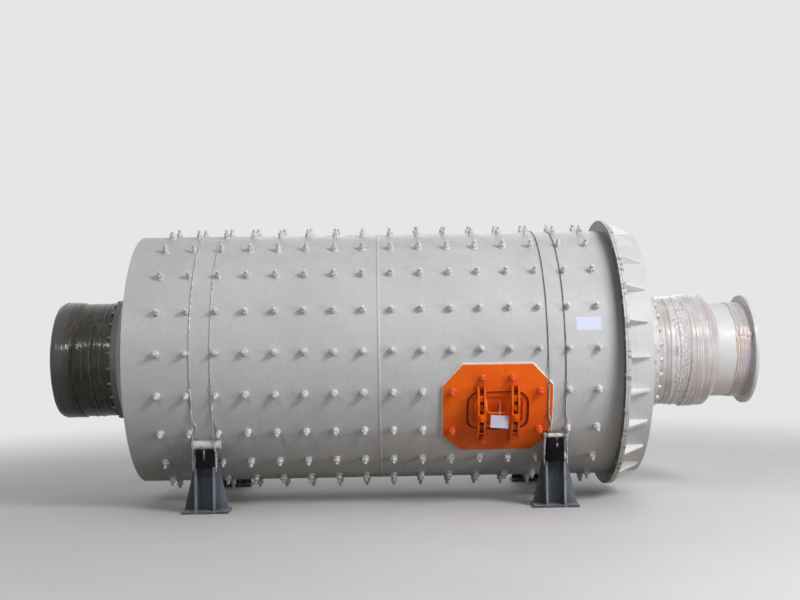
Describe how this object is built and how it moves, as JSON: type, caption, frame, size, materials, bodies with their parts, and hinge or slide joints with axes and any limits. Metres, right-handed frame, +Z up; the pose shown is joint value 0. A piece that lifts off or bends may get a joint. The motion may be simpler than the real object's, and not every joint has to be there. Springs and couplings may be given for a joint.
{
  "type": "ball mill",
  "caption": "Horizontal grinding mill drum with hollow trunnions, gear flange, ribbed discharge head and clamped manhole, tied down on welded shipping stands.",
  "frame": {"origin": "on the floor, under the mill axis, halfway between the end of the feed trunnion and the face of the discharge end flange", "axes": "+X along the mill axis towards the discharge end, +Y away from the manhole side, +Z up"},
  "size_m": [6.021, 2.328, 2.404],
  "materials": {
    "shell_paint": "pale warm grey machine paint, satin, lightly soiled",
    "flange_primer": "thin grey primer with handling dirt",
    "cast_iron": "turned and greased",
    "greased_film": "clear film wound over dark olive grease",
    "clear_film": "milky film wound in many layers",
    "manhole_paint": "orange gloss paint",
    "stand_paint": "slate blue paint with dust and scratches",
    "saddle_block": "black rubber faced block",
    "tie_bar_paint": "white overspray on round steel",
    "steel_wire": "drawn steel wire, dull"
  },
  "bodies": {
    "root": {"shell_feed_course": "shell_paint", "shell_discharge_course": "shell_paint", "shell_weld_bead": "shell_paint", "gear_flange": "flange_primer", "discharge_barrel": "shell_paint", "discharge_head": "shell_paint", "feed_head": "shell_paint", "feed_trunnion": "cast_iron", "feed_trunnion_flange": "cast_iron", "discharge_trunnion": "cast_iron", "discharge_trunnion_flange": "cast_iron", "feed_journal_wrap": "greased_film", "discharge_journal_wrap": "clear_film", "discharge_tube": "shell_paint", "discharge_flange": "shell_paint", "discharge_tube_wrap": "clear_film", "manhole_frame": "manhole_paint", "manhole_cover": "manhole_paint", "manhole_clamp_feed_side": "manhole_paint", "manhole_clamp_discharge_side": "manhole_paint", "manhole_clamp_bolts": "manhole_paint", "manhole_handle": "manhole_paint", "front_feed_stand": "stand_paint", "rear_feed_stand": "stand_paint", "front_discharge_stand": "stand_paint", "rear_discharge_stand": "stand_paint", "front_feed_saddle": "saddle_block", "rear_feed_saddle": "saddle_block", "front_discharge_saddle": "saddle_block", "rear_discharge_saddle": "saddle_block", "front_feed_tie_bar": "tie_bar_paint", "rear_feed_tie_bar": "tie_bar_paint", "front_discharge_tie_bar": "tie_bar_paint", "rear_discharge_tie_bar": "tie_bar_paint", "feed_wire_outer": "steel_wire", "feed_wire_inner": "steel_wire", "discharge_wire_inner": "steel_wire", "discharge_wire_outer": "steel_wire", "front_feed_lashings": "steel_wire", "rear_feed_lashings": "steel_wire", "front_discharge_lashings": "steel_wire", "rear_discharge_lashings": "steel_wire"}
  },
  "joints": []
}
